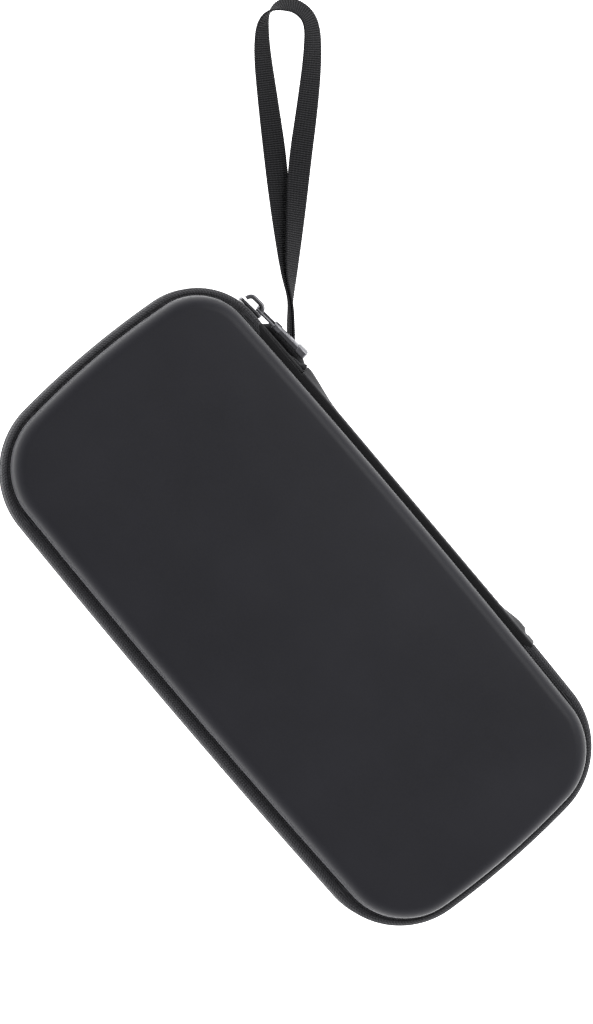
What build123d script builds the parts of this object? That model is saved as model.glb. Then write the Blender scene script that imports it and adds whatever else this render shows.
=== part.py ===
from build123d import *
import math
import os

# Soft-shell carrying case for a handheld console, lying on its base.
# Millimetres. X runs along the case, +Y points to the fabric spine, +Z is up.
# The origin is the middle of the base's flat underside.

# The outline of the zipper band, seen from above
case_length = 260.0
case_width = 125.4
corner_radius = 29.0
side_bow = 2.0
end_bow = 5.5

# Heights of the three layers
base_depth = 21.0
band_height = 14.0
lid_depth = 9.0

# The two moulded shells
side_step = 4.2
end_step = 2.6
shell_corner = 23.0
wall = 3.6
draft_angle = 5.0
lid_edge_radius = 4.0
base_edge_radius = 7.0
edge_facets = 3

# The zipper
tape = 1.0
band_bevel = 1.4
chain_gap = 1.2
coil_width = 1.6
coil_height = 2.0
binding = 0.8
binding_on_wall = 2.8
binding_past_seam = 1.8

# The fabric spine, a strip between two fold lines
spine_start = -69.5
spine_end = 71.0
spine_recess = 1.0
spine_thickness = 1.4
spine_gap = 0.3
spine_bump = 1.2
spine_bump_length = 16.0
spine_bump_margin = 1.5

# The sewn zipper end between slider and spine
end_tab_length = 9.0
end_tab_thickness = 1.1
end_tab_margin = 2.6
patch_below_seam = 1.2

# The slider
slider_length = 11.0
slider_width = 8.0
slider_nose_width = 6.0
slider_turn = 5.0
plate = 1.2
plate_clearance = 0.4
inner_plate_depth = 3.7
rail_height = 1.9
rail_width = 0.8
post_thickness = 0.6
post_length = 3.0
crown_length = 9.0
crown_height = 4.0
crown_bar = 1.1
crown_width = 2.2
crown_round = 1.8
crown_mouth = 1.1
slider_end_gap = 0.9
slider_top_gap = 1.2

# The pull
pull_length = 26.5
pull_width = 5.8
pull_thickness = 1.3
pull_ring_thickness = 0.8
pull_bar = 1.0
pull_side = 0.8
pull_window = 8.6
pull_end_length = 4.8
pull_end_thickness = 2.8
pull_play = 0.95
pull_lean = 18.0

# The elastic band and the net pocket inside
console_strap_width = 32.0
console_strap_thickness = 1.2
console_strap_drop = 1.8
strap_end_height = 8.0
strap_end_thickness = 1.4
pocket_thickness = 1.0
pocket_above_seam = 1.6
pocket_edge = 26.0
hem_width = 7.0
hem_thickness = 2.0

# The wrist strap, laid out from where it leaves the band's shadow
webbing_width = 10.0
webbing_thickness = 1.2
strap_from_end = 48.1
strap_off_band = 6.5
strap_heading = 139.58
strap_below_seam = 6.0
strap_off_table = 0.1
anchor_inside = 20.0
anchor_outside = -6.0
anchor_cheek = 1.0
anchor_margin = 0.5
# Each point: along the heading, across it to the right, share of the way up from the table to the exit
strap_route = [
    (-12.0, -0.55, 1.0),
    (-5.0, -0.60, 1.0),
    (3.0, -0.35, 0.66),
    (13.0, -0.05, 0.19),
    (24.0, -0.10, 0.0),
    (44.0, -1.65, 0.0),
    (68.0, -4.65, 0.0),
    (92.0, -7.45, 0.0),
    (114.0, -10.55, 0.0),
    (128.0, -9.75, 0.0),
    (133.4, -3.35, 0.0),
    (133.2, 3.65, 0.0),
    (126.5, 9.85, 0.0),
    (112.0, 10.25, 0.0),
    (91.0, 8.25, 0.0),
    (67.0, 5.45, 0.0),
    (44.0, 2.45, 0.0),
    (24.0, 1.15, 0.0),
    (13.0, 1.05, 0.19),
    (3.0, 0.75, 0.66),
    (-5.0, 0.50, 1.0),
    (-12.0, 0.55, 1.0),
]

# Worked-out heights and places
lower_seam = base_depth
upper_seam = base_depth + band_height
mid_line = base_depth + band_height / 2
spine_y = case_width / 2 - spine_recess - spine_thickness / 2
lower_fold = lower_seam + tape
upper_fold = upper_seam - tape
land_edge = spine_y - spine_thickness / 2 - spine_gap
binding_inset = wall + binding_on_wall * math.tan(math.radians(draft_angle))
strap_reach = case_width / 2 - side_step - binding_inset - binding - strap_end_thickness
strap_lying = webbing_width / 2 + strap_off_table
strap_climb = lower_seam - strap_below_seam - strap_lying
far = 2 * case_length

os.makedirs("parts", exist_ok=True)


def save(name, solid):
    """Writes one piece to its own file."""
    export_step(solid, f"parts/{name}.step")


def block(x0, x1, y0, y1, z0, z1):
    """A box between two corners."""
    return Pos((x0 + x1) / 2, (y0 + y1) / 2, (z0 + z1) / 2) * Box(x1 - x0, y1 - y0, z1 - z0)


def bow_radius(chord, bow):
    """The radius of a side that stands out by bow at its middle."""
    return (chord / 2) ** 2 / (2 * bow) + bow / 2


def bowed_face(length, width, radius, inset):
    """A rectangle with slightly bowed sides and round corners, moved inwards by inset."""
    side_r = bow_radius(length, side_bow)
    end_r = bow_radius(width, end_bow)
    face = Pos(0, width / 2 - side_r) * Circle(side_r - inset)
    face = face & Pos(0, side_r - width / 2) * Circle(side_r - inset)
    face = face & Pos(length / 2 - end_r, 0) * Circle(end_r - inset)
    face = face & Pos(end_r - length / 2, 0) * Circle(end_r - inset)
    return fillet(face.vertices(), radius - inset)


def band_face(inset):
    """The zipper band's outline."""
    return bowed_face(case_length, case_width, corner_radius, inset)


def shell_face(inset):
    """The shells' outline at their seams."""
    return bowed_face(case_length - 2 * end_step, case_width - 2 * side_step, shell_corner, inset)


def corner_centre():
    """The centre of the band's round corner next to the slider."""
    side_r = bow_radius(case_length, side_bow)
    end_r = bow_radius(case_width, end_bow)
    side_centre = Vector(0, case_width / 2 - side_r)
    end_centre = Vector(end_r - case_length / 2, 0)
    side_reach = side_r - corner_radius
    end_reach = end_r - corner_radius
    between = end_centre - side_centre
    along = (side_reach**2 - end_reach**2 + between.length**2) / (2 * between.length)
    across = math.sqrt(side_reach**2 - along**2)
    unit = between.normalized()
    return side_centre + unit * along + Vector(-unit.Y, unit.X) * across


def drafted_prism(face, height, lean):
    """A face raised by height, with its sides leaning inwards by lean degrees."""
    solid = extrude(face, amount=height, dir=(0, 0, 1))
    sides = solid.faces().filter_by(GeomType.CYLINDER)
    return draft(sides, Plane.XY.offset(face.center().Z), lean)


def top_face(solid):
    """The highest flat face."""
    return solid.faces().sort_by(Axis.Z)[-1]


def faceted_prism(face, height, radius):
    """A drafted prism with its top edge rounded in a few flat facets."""
    solid = drafted_prism(face, height - radius, draft_angle)
    step = math.pi / 2 / edge_facets
    for facet in range(edge_facets):
        low = facet * step
        high = low + step
        rise = radius * (math.sin(high) - math.sin(low))
        run = radius * (math.cos(low) - math.cos(high))
        lean = math.degrees(math.atan2(run, rise))
        solid += drafted_prism(top_face(solid), rise, lean)
    return solid


def beveled_prism(face, height, bevel):
    """A face raised by height, with its top edge beveled."""
    solid = extrude(face, amount=height)
    return chamfer(top_face(solid).edges(), bevel)


def upwards(solid, height):
    """A piece drawn upwards from zero, set on a seam."""
    return Pos(0, 0, height) * solid


def downwards(solid, height):
    """A piece drawn upwards from zero, hung mirrored below a seam."""
    return Pos(0, 0, height) * mirror(solid, about=Plane.XY)


def shell_cavity(depth, inset):
    """The hollow of a shell, or of what lines it, drawn upwards from its seam."""
    return drafted_prism(shell_face(inset), depth - wall, draft_angle)


def base_block():
    """The base's outer form without its hollow, drawn upwards from its seam."""
    return faceted_prism(shell_face(0), base_depth, base_edge_radius)


def half_tape():
    """Half of the zipper band above its mid-line: it turns inwards and runs under the shell's rim."""
    height = band_height / 2
    start = chain_gap / 2
    outside = beveled_prism(band_face(0), height - start, band_bevel)
    inside = extrude(band_face(tape), amount=height - start - tape)
    return Pos(0, 0, start) * (outside - inside - extrude(shell_face(wall), amount=height))


def half_coil():
    """The coil on the inner face of half a tape, above the mid-line."""
    ring = band_face(tape) - band_face(tape + coil_width)
    return Pos(0, 0, chain_gap / 2) * extrude(ring, amount=coil_height)


def half_binding():
    """The sewn binding over the inner seam, drawn round it from below the seam to the shell's wall."""
    ring = shell_face(binding_inset) - shell_face(binding_inset + binding)
    return Pos(0, 0, -binding_past_seam) * extrude(ring, amount=binding_past_seam + binding_on_wall)


# Places along the spine side that several pieces share
corner = corner_centre()
slider_place = Pos(corner.X, corner.Y, mid_line) * Rot(0, 0, slider_turn) * Pos(0, corner_radius, 0)
slider_low = (slider_place * Pos(-slider_length / 2, 0, 0)).position.X - slider_end_gap
slider_high = (slider_place * Pos(slider_length / 2, 0, 0)).position.X + slider_end_gap
slider_top = slider_width / 2 + slider_top_gap
end_tab_start = spine_start - spine_gap - end_tab_length
spine_zone = block(spine_start - spine_gap, spine_end + spine_gap, land_edge, far, 0, far)
chain_end_zone = block(spine_start - spine_gap, spine_end + spine_gap, 0, far, 0, far)


def base_shell():
    """The moulded base, an even wall round the console's space."""
    return downwards(base_block() - shell_cavity(base_depth, wall), lower_seam)


def lid_shell():
    """The moulded lid, flat with a round rim."""
    outside = faceted_prism(shell_face(0), lid_depth, lid_edge_radius)
    return upwards(outside - shell_cavity(lid_depth, wall), upper_seam)


def lower_zipper_tape():
    """The lower half of the band; along the spine only its seam strip is left."""
    return downwards(half_tape(), mid_line) - spine_zone


def upper_zipper_tape():
    """The upper half of the band, let out where the slider and the sewn zipper end sit."""
    slider_zone = block(slider_low, slider_high, 0, far, 0, mid_line + slider_top)
    patch_zone = block(slider_high, spine_start, land_edge, far, 0, far)
    return upwards(half_tape(), mid_line) - spine_zone - slider_zone - patch_zone


def lower_zipper_coil():
    return downwards(half_coil(), mid_line) - chain_end_zone


def upper_zipper_coil():
    end_zone = block(slider_low, spine_start, 0, far, 0, far)
    return upwards(half_coil(), mid_line) - chain_end_zone - end_zone


def lower_rim_binding():
    return downwards(half_binding(), lower_seam)


def upper_rim_binding():
    return upwards(half_binding(), upper_seam)


def zipper_end_patch():
    """The two tape ends sewn together above the mid-line, between slider and spine."""
    top = upper_seam - patch_below_seam
    low = mid_line - chain_gap / 2
    outside = beveled_prism(Pos(0, 0, low) * band_face(0), top - low, band_bevel)
    inside = extrude(Pos(0, 0, low) * band_face(tape), amount=top - low - tape)
    reach = block(slider_high, spine_start - spine_gap, land_edge + spine_gap, far, 0, far)
    return (outside - inside) & reach


def spine_end_tab():
    """The sewn-down end of the spine, a cap of doubled fabric over the patch."""
    low = lower_seam + end_tab_margin
    high = upper_seam - patch_below_seam - end_tab_margin
    ring = band_face(-end_tab_thickness) - band_face(0)
    cap = Pos(0, 0, low) * extrude(ring, amount=high - low)
    cap = cap & block(end_tab_start, spine_start - spine_gap, 0, far, 0, far)
    outer = cap.faces().sort_by(Axis.Y)[-1]
    return chamfer(outer.edges(), end_tab_thickness / 2)


def spine_strip():
    """The hinge strip: round along both fold lines, with the padded bump at its far end."""
    height = upper_fold - lower_fold + spine_thickness
    section = Plane.YZ.offset(spine_start) * Pos(spine_y, (lower_fold + upper_fold) / 2) * Rot(0, 0, 90)
    strip = extrude(section * SlotOverall(height, spine_thickness), amount=spine_end - spine_start)
    face = spine_y + spine_thickness / 2
    bump = block(
        spine_end - spine_bump_length,
        spine_end,
        spine_y,
        face + spine_bump,
        lower_fold + spine_bump_margin,
        upper_fold - spine_bump_margin,
    )
    outer = bump.faces().sort_by(Axis.Y)[-1]
    return strip + chamfer(outer.edges(), spine_bump / 2)


def slider_body():
    """The slider: two plates joined by a post in the chain's slit, rails, and the crown on top."""
    half = slider_length / 2
    outline = Polygon(
        (-half, -slider_nose_width / 2),
        (half, -slider_width / 2),
        (half, slider_width / 2),
        (-half, slider_nose_width / 2),
        align=None,
    )
    outline = fillet(outline.vertices(), slider_nose_width / 4)
    outer = extrude(Plane.XZ.offset(-plate_clearance) * outline, amount=-plate)
    inner = extrude(Plane.XZ.offset(inner_plate_depth) * outline, amount=plate)
    post = block(
        half - post_length,
        half,
        -inner_plate_depth,
        plate_clearance,
        -post_thickness / 2,
        post_thickness / 2,
    )
    solid = outer + inner + post
    for side in (-1, 1):
        middle = side * (slider_width - rail_width) / 2
        rail = block(
            0,
            half - slider_nose_width / 4,
            -inner_plate_depth,
            rail_height - inner_plate_depth,
            middle - rail_width / 2,
            middle + rail_width / 2,
        )
        solid += rail
    return slider_place * (solid + crown())


def crown_legs():
    """The crown's solid leg and its open end, along the slider."""
    leg = slider_length / 2 - crown_bar
    return leg, leg - crown_length + crown_bar


def crown():
    """A bent bar over the outer plate, open at the end that faces the closed chain."""
    floor = plate_clearance + plate
    ridge = floor + crown_height - crown_bar / 2
    leg, mouth = crown_legs()
    path = FilletPolyline(
        (leg, floor - plate / 2),
        (leg, ridge),
        (mouth, ridge),
        (mouth, floor + crown_mouth),
        radius=crown_round,
    )
    return extrude(trace(path, crown_bar), amount=crown_width / 2, both=True)


def pull_place():
    """The crown's inner corner, where the pull's bar hangs."""
    leg, _ = crown_legs()
    x = leg - crown_bar / 2 - pull_bar / 2 - pull_play
    y = plate_clearance + plate + (crown_height - crown_bar) / 2
    return slider_place * Pos(x, y, 0)


def pull_tab():
    """The pull: a bar and a ring round the crown, a flat body and a thicker end, leaning on the bar."""
    half = pull_width / 2
    window_end = pull_bar / 2 + pull_window
    ring = block(0, window_end + pull_side, -pull_ring_thickness / 2, pull_ring_thickness / 2, -half, half)
    ring -= block(0, window_end, -pull_ring_thickness, pull_ring_thickness, pull_side - half, half - pull_side)
    body = block(window_end, pull_length, -pull_thickness / 2, pull_thickness / 2, -half, half)
    end = block(
        pull_length - pull_end_length,
        pull_length,
        -pull_end_thickness / 2,
        pull_end_thickness / 2,
        -half,
        half,
    )
    end = chamfer(end.edges().filter_by(Axis.Z), pull_end_thickness / 4)
    bar = Cylinder(pull_bar / 2, pull_width)
    return pull_place() * Rot(pull_lean, 0, 0) * (ring + body + end + bar)


def console_strap():
    """The elastic band across the base, from end to end above the console."""
    top = lower_seam - console_strap_drop
    half = console_strap_width / 2
    return block(-half, half, -strap_reach, strap_reach, top - console_strap_thickness, top)


def console_strap_ends():
    """The two ends of the band, turned down and sewn to the binding."""
    top = lower_seam - console_strap_drop
    half = console_strap_width / 2
    ends = block(-half, half, strap_reach, far, top - strap_end_height, top)
    ends += block(-half, half, -far, -strap_reach, top - strap_end_height, top)
    lined = extrude(shell_face(binding_inset + binding), amount=lower_seam)
    return ends & lined


def mesh_pocket():
    """The net panel in the lid, sewn into the binding and open towards the spine."""
    low = upper_seam + pocket_above_seam
    inside = upwards(shell_cavity(lid_depth, binding_inset + binding), upper_seam)
    return inside & block(-far, far, -far, pocket_edge, low, low + pocket_thickness)


def mesh_pocket_hem():
    """The elastic hem along the pocket's open edge."""
    middle = upper_seam + pocket_above_seam + pocket_thickness / 2
    inside = upwards(shell_cavity(lid_depth, binding_inset + binding), upper_seam)
    low = middle - hem_thickness / 2
    return inside & block(-far, far, pocket_edge, pocket_edge + hem_width, low, low + hem_thickness)


def strap_frame():
    """The wrist strap's own axes: X along its heading, Y to its left."""
    exit_x = strap_from_end - case_length / 2
    exit_y = case_width / 2 + strap_off_band
    return Pos(exit_x, exit_y, 0) * Rot(0, 0, strap_heading)


def corner_radii(points):
    """The largest bend that the two runs beside each inner point leave room for."""
    radii = []
    for before, at, after in zip(points, points[1:], points[2:]):
        back = Vector(*before) - Vector(*at)
        ahead = Vector(*after) - Vector(*at)
        turn = math.radians(180 - back.get_angle(ahead))
        radii.append(0.45 * min(back.length, ahead.length) / math.tan(turn / 2))
    return radii


def wrist_strap():
    """The webbing stood on edge: its plan raised, then cut to its sloping side view."""
    plan = [(along, -across) for along, across, _ in strap_route]
    radii = corner_radii(plan)
    print("wrist strap radii", [round(r, 1) for r in radii])
    path = FilletPolyline(*plan, radius=radii)
    print("wrist strap length", round(path.length, 1))
    edges = path.edges()
    middle = len(edges) // 2
    up = Vector(0, 0, 1)
    tall = extrude(trace(edges[:middle], webbing_thickness), amount=case_width, dir=up)
    tall += extrude(trace(edges[middle:], webbing_thickness), amount=case_width, dir=up)
    side = strap_route[: len(strap_route) // 2]
    heights = [(along, strap_lying + share * strap_climb) for along, _, share in side]
    heights.append((heights[-1][0] + webbing_thickness, strap_lying))
    edge = [(along, height + webbing_width / 2) for along, height in heights]
    edge += [(along, height - webbing_width / 2) for along, height in reversed(heights)]
    view = extrude(Plane.XZ * Polygon(*edge, align=None), amount=case_width, both=True)
    return strap_frame() * (tall & view)


def strap_anchor_tab():
    """A folded tab under the band: two cheeks hold the strap's ends against the base's wall."""
    start = strap_route[0][0]
    middle = strap_lying + strap_climb
    half = webbing_thickness + anchor_cheek
    tall = webbing_width / 2 + anchor_margin
    tab = block(-anchor_inside, anchor_outside, -half, half, middle - tall, middle + tall)
    outer = tab.faces().sort_by(Axis.X)[-1]
    tab = fillet(outer.edges().filter_by(Axis.Z), anchor_cheek / 2)
    slot = block(start, 0, -webbing_thickness, webbing_thickness, middle - tall, middle + tall)
    return strap_frame() * (tab - slot) - downwards(base_block(), lower_seam)


pieces = {
    "base_shell": base_shell,
    "lower_zipper_tape": lower_zipper_tape,
    "lower_zipper_coil": lower_zipper_coil,
    "lower_rim_binding": lower_rim_binding,
    "zipper_end_patch": zipper_end_patch,
    "spine_end_tab": spine_end_tab,
    "console_strap": console_strap,
    "console_strap_ends": console_strap_ends,
    "strap_anchor_tab": strap_anchor_tab,
    "wrist_strap": wrist_strap,
    "spine_strip": spine_strip,
    "lid_shell": lid_shell,
    "upper_zipper_tape": upper_zipper_tape,
    "upper_zipper_coil": upper_zipper_coil,
    "upper_rim_binding": upper_rim_binding,
    "mesh_pocket": mesh_pocket,
    "mesh_pocket_hem": mesh_pocket_hem,
    "slider_body": slider_body,
    "pull_tab": pull_tab,
}

for piece_name, make in pieces.items():
    save(piece_name, make())
print("corner centre", corner)
print("pull axis", pull_place().position)
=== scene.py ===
import math

import bmesh
import bpy
import numpy as np
from mathutils import Matrix, Vector


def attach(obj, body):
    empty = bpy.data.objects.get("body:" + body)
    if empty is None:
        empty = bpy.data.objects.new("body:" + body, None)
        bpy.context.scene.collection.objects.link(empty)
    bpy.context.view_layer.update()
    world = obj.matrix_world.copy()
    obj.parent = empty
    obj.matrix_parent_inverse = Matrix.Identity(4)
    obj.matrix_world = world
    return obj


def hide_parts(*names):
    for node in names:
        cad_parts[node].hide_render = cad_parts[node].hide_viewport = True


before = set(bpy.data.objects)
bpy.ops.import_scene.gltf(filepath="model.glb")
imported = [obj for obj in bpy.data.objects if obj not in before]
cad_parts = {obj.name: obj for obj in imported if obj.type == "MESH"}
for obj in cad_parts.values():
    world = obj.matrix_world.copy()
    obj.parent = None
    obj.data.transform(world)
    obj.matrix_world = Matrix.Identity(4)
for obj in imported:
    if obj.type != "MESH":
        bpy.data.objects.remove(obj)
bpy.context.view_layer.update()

# Lengths are in millimetres unless a comment says metres. X runs along the case, Y towards its spine, and
# Z up from the table. The values are the solids' own, apart from SOFTER, LID_INSET, LID_SHIFT and LAND_EDGE.
MM = 0.001
ROUND, QUARTER = 2 * math.pi, math.pi / 2
EAST, NORTH, UP = (1.0, 0.0, 0.0), (0.0, 1.0, 0.0), (0.0, 0.0, 1.0)

CASE_LENGTH, CASE_WIDTH = 260.0, 125.4
BAND_CORNER, SHELL_CORNER = 29.0, 23.0
SOFTER = 5.0  # the cloth rounds the three corners without the slider this much more
SIDE_BOW, END_BOW = 2.0, 5.5  # how far the sides and the ends bow out
SIDE_STEP, END_STEP = 4.2, 2.6  # from the band's outline in to the shells'
LOWER_SEAM, MID_LINE, UPPER_SEAM = 21.0, 28.0, 35.0
BASE_DEPTH, LID_DEPTH = 21.0, 9.0
WALL = 3.6
DRAFT = math.tan(math.radians(5.0))
LID_INSET, LID_SHIFT = 0.5, (0.1, 0.25, 0.0)  # the lid's cover inside its seam, and off its middle
SPINE_START, SPINE_END, SPINE_Y, SPINE_THICK = -69.5, 71.0, 61.0, 1.4
GAP = 0.3  # between the spine and the ends of the tapes
LAND_EDGE = 60.6  # the seam strips end inside the spine's thickness
BINDING_INSET, BINDING = WALL + 2.8 * DRAFT, 0.8
SLIDER_LOW, SLIDER_HIGH, SLIDER_TURN = -108.3, -95.55, 5.0

# Distances between mesh points and between stitches
SHELL_MESH, BAND_MESH, LAND_MESH, CAP_MESH, FOLD_MESH, BORDER_MESH = 1.4, 0.8, 1.5, 0.3, 0.4, 1.0
STITCH_PITCH = 3.2


# Outlines, found by the angle of their normals

def bow_radius(chord, bow):
    """The radius of an arc that rises by bow over a chord."""
    return (chord / 2) ** 2 / (2 * bow) + bow / 2


class Outline:
    """A rectangle with bowed sides and round corners, the slider's own corner tighter than the rest."""

    def __init__(self, length, width, corner):
        self.side_r, self.end_r = bow_radius(length, SIDE_BOW), bow_radius(width, END_BOW)
        self.side_c = np.array([0.0, width / 2 - self.side_r])
        self.end_c = np.array([length / 2 - self.end_r, 0.0])
        self.corners = [self.corner(corner + SOFTER), self.corner(corner)]
        self.side_turn = max(c[2] for c in self.corners)

    def corner(self, radius):
        """A corner arc between side and end: radius, centre, and the normal angles at its two ends."""
        between = self.end_c - self.side_c
        gap = np.linalg.norm(between)
        a, b = self.side_r - radius, self.end_r - radius
        along = (a * a - b * b + gap * gap) / (2 * gap)
        across = math.sqrt(a * a - along * along)
        unit = between / gap
        centre = self.side_c + unit * along + np.array([unit[1], -unit[0]]) * across
        side, end = centre - self.side_c, centre - self.end_c
        return radius, centre, math.atan2(side[1], side[0]), math.atan2(end[1], end[0])

    def points(self, turns, out=0.0):
        """Points at these normal angles, moved outwards; an (n, 2) array."""
        turns = np.atleast_1d(turns)
        n = np.stack([np.cos(turns), np.sin(turns)], axis=1)
        first = np.abs(n)
        t = np.arctan2(first[:, 1], first[:, 0])
        at_slider = ((n[:, 0] < 0) & (n[:, 1] > 0))[:, None]
        r, centre, side_turn, end_turn = (np.where(at_slider, b, a) for a, b in zip(*self.corners))
        on_end, on_side = t[:, None] < end_turn, t[:, None] > side_turn
        centre = np.where(on_end, self.end_c, np.where(on_side, self.side_c, centre))
        radius = np.where(on_end, self.end_r, np.where(on_side, self.side_r, r))[:, 0] + out
        return (centre + first * radius[:, None]) * np.where(n < 0, -1.0, 1.0)

    def turn_at_x(self, x):
        """The normal angle on the spine side at this X, by halving."""
        low, high = 0.0, math.pi
        for _ in range(60):
            mid = (low + high) / 2
            low, high = (mid, high) if self.points(mid)[0, 0] > x else (low, mid)
        return low

    def spine_y(self, x):
        """Y of the spine side at these places along X."""
        turns = np.linspace(self.side_turn, math.pi - self.side_turn, 800)[::-1]
        p = self.points(turns)
        return np.interp(x, p[:, 0], p[:, 1])


BAND = Outline(CASE_LENGTH, CASE_WIDTH, BAND_CORNER)
SHELL = Outline(CASE_LENGTH - 2 * END_STEP, CASE_WIDTH - 2 * SIDE_STEP, SHELL_CORNER)


def lengths(points):
    """The running length along a row of points."""
    return np.concatenate([[0.0], np.cumsum(np.linalg.norm(np.diff(points, axis=0), axis=1))])


def even_turns(outline, low, high, step):
    """Normal angles from low to high whose points lie about step apart."""
    fine = np.linspace(low, high, 20000)
    along = lengths(outline.points(fine))
    count = max(2, int(round(along[-1] / step)) + 1)
    return np.interp(np.linspace(0, along[-1], count), along, fine)


def smooth(low, high, x):
    """0 before low, 1 after high, and an S-curve between."""
    t = np.clip((np.asarray(x, float) - low) / (high - low), 0, 1)
    return t * t * (3 - 2 * t)


def hump(x, height, rise, fall):
    """A height that comes and goes along two S-curves."""
    return height * smooth(*rise, x) * (1 - smooth(*fall, x))


def around(count):
    """Evenly spaced angles of one turn."""
    return np.linspace(0, ROUND, count + 1)[:-1]


def power(value, exponent):
    """A power that keeps the sign."""
    return math.copysign(abs(value) ** exponent, value)


# Mesh building: a form is (points, quads, one (u, v) a corner in metres, other faces)

def points_at(x, y, z):
    """A row of points; each coordinate is an array or one value for all."""
    return np.column_stack(np.broadcast_arrays(x, y, z))


def row(outline, turns, out, z):
    """A row of points along an outline, moved outwards, at one height."""
    return points_at(*outline.points(turns, out).T, z)


def loft(rows, ring=False, wrap=False, caps=False, along=None):
    """Quads between rows of points; ring joins each row's ends, wrap joins the last row to the first."""
    p = np.stack([np.asarray(r, float) for r in rows])
    m, n = p.shape[:2]
    if along is None:
        along = lengths(np.concatenate([p[0], p[0, :1]]))
    wide = np.linalg.norm(np.diff(np.concatenate([p, p[:1]]), axis=0), axis=2).mean(axis=1)
    across = np.concatenate([[0.0], np.cumsum(wide)])
    places = np.arange(m if wrap else m - 1), np.arange(n if ring else n - 1)
    j, i = (k.ravel() for k in np.meshgrid(*places, indexing="ij"))
    j2, i2 = (j + 1) % m, (i + 1) % n
    quads = np.stack([j * n + i, j * n + i2, j2 * n + i2, j2 * n + i], axis=1)
    u = np.stack([along[i], along[i + 1], along[i + 1], along[i]], axis=1)
    v = np.stack([across[j], across[j], across[j + 1], across[j + 1]], axis=1)
    others = [tuple(range(0, m * n, n)), tuple(range(m * n - 1, 0, -n))] if caps else []
    return p.reshape(-1, 3), quads, np.stack([u, v], axis=2) * MM, others


def tube(rows, along=None):
    """Rows joined all round, with closed ends."""
    return loft(rows, wrap=True, caps=True, along=along)


def join(forms):
    """Several forms as one."""
    points, quads, uvs, others, base = [], [], [], [], 0
    for p, q, u, o in forms:
        points.append(p)
        quads.append(q + base)
        uvs.append(u)
        others += [tuple(k + base for k in face) for face in o]
        base += len(p)
    return np.concatenate(points), np.concatenate(quads), np.concatenate(uvs), others


def close_cap(form, n, height):
    """The form with its last row of n points closed by one middle point."""
    points, quads, uvs, others = form
    first, middle = len(points) - n, len(points)
    points = np.concatenate([points, [[0.0, 0.0, height]]])
    return points, quads, uvs, others + [(first + k, first + (k + 1) % n, middle) for k in range(n)]


def link(name, data):
    """A new object in the scene."""
    o = bpy.data.objects.new(name, data)
    bpy.context.scene.collection.objects.link(o)
    return o


def add(name, form, *materials):
    """A smooth mesh object from a form, with its normals turned outwards."""
    points, quads, uvs, others = form
    mesh = bpy.data.meshes.new(name)
    mesh.from_pydata((points * MM).tolist(), [], quads.tolist() + others)
    layer = mesh.uv_layers.new(name="weave")
    spare = np.zeros(2 * sum(len(face) for face in others))
    layer.uv.foreach_set("vector", np.concatenate([uvs.reshape(-1), spare]).astype(np.float32))
    bm = bmesh.new()
    bm.from_mesh(mesh)
    bmesh.ops.recalc_face_normals(bm, faces=bm.faces)
    bm.to_mesh(mesh)
    bm.free()
    mesh.shade_smooth()
    for m in materials:
        mesh.materials.append(m)
    return link(name, mesh)


def settle(o, body, slot, *stands_for):
    """The piece rides on a body and stands for these solids; slot is not used."""
    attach(o, body)
    if stands_for:
        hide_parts(*stands_for)
    return o


def tangents(line):
    """Unit directions along a row of points."""
    t = np.gradient(line, axis=0)
    return t / np.linalg.norm(t, axis=1)[:, None]


def rounded(half_width, half_height, corner, count):
    """A closed section: a rectangle with round corners."""
    out = []
    for k in range(count):
        a = ROUND * (k + 0.5) / count
        c, s = math.cos(a), math.sin(a)
        x = (half_width - corner) * np.sign(c) + corner * c
        y = (half_height - corner) * np.sign(s) + corner * s
        out.append((x, y))
    return out


# One stitch: shares of its length and thickness, how far its middle rises, and its sides
STITCH = ((-0.5, 0.35), (-0.32, 0.9), (0.0, 1.0), (0.32, 0.9), (0.5, 0.35))
STITCH_RISE, STITCH_SIDES = 0.18, 6


def stitches(at, along, out, long=2.2, thick=0.55):
    """Thread dashes: places, directions along the seam, and directions that the thread bulges to."""
    forms = []
    along, out = np.broadcast_to(along, np.shape(at)), np.broadcast_to(out, np.shape(at))
    for p, t, n in zip(at, along, out):
        b = np.cross(t, n)
        rows = []
        for a in around(STITCH_SIDES):
            spoke = n * math.cos(a) + b * math.sin(a)
            rows.append([p + t * (s * long) + n * (STITCH_RISE * math.cos(math.pi * s))
                         + spoke * (r * thick / 2) for s, r in STITCH])
        forms.append(tube(rows))
    return join(forms)


# Materials; lengths in them are metres

FAINT_BLUE = 1.03  # blue against red and green in the greys
ROW_SHARE = 0.75  # how much of a cloth's relief comes and goes with its rows


def material(name):
    """A new material with its node tree and shader."""
    m = bpy.data.materials.new(name)
    m.use_nodes = True
    tree = m.node_tree
    tree.nodes.clear()
    out = tree.nodes.new("ShaderNodeOutputMaterial")
    bsdf = tree.nodes.new("ShaderNodeBsdfPrincipled")
    tree.links.new(bsdf.outputs["BSDF"], out.inputs["Surface"])
    return m, tree, bsdf


def put(tree, socket, value):
    """Links a socket into another, or sets a constant."""
    if isinstance(value, bpy.types.NodeSocket):
        tree.links.new(value, socket)
    else:
        socket.default_value = value


def constants(node, **values):
    """Sets inputs, named with _ for a space."""
    for name, value in values.items():
        node.inputs[name.replace("_", " ")].default_value = value


def calc(tree, operation, a, b=0.0):
    """One step of arithmetic."""
    n = tree.nodes.new("ShaderNodeMath")
    n.operation = operation
    put(tree, n.inputs[0], a)
    put(tree, n.inputs[1], b)
    return n.outputs[0]


def plus(tree, a, b):
    """The sum of two sockets or constants."""
    return calc(tree, "ADD", a, b)


def times(tree, a, b):
    """The product of two sockets or constants."""
    return calc(tree, "MULTIPLY", a, b)


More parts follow.
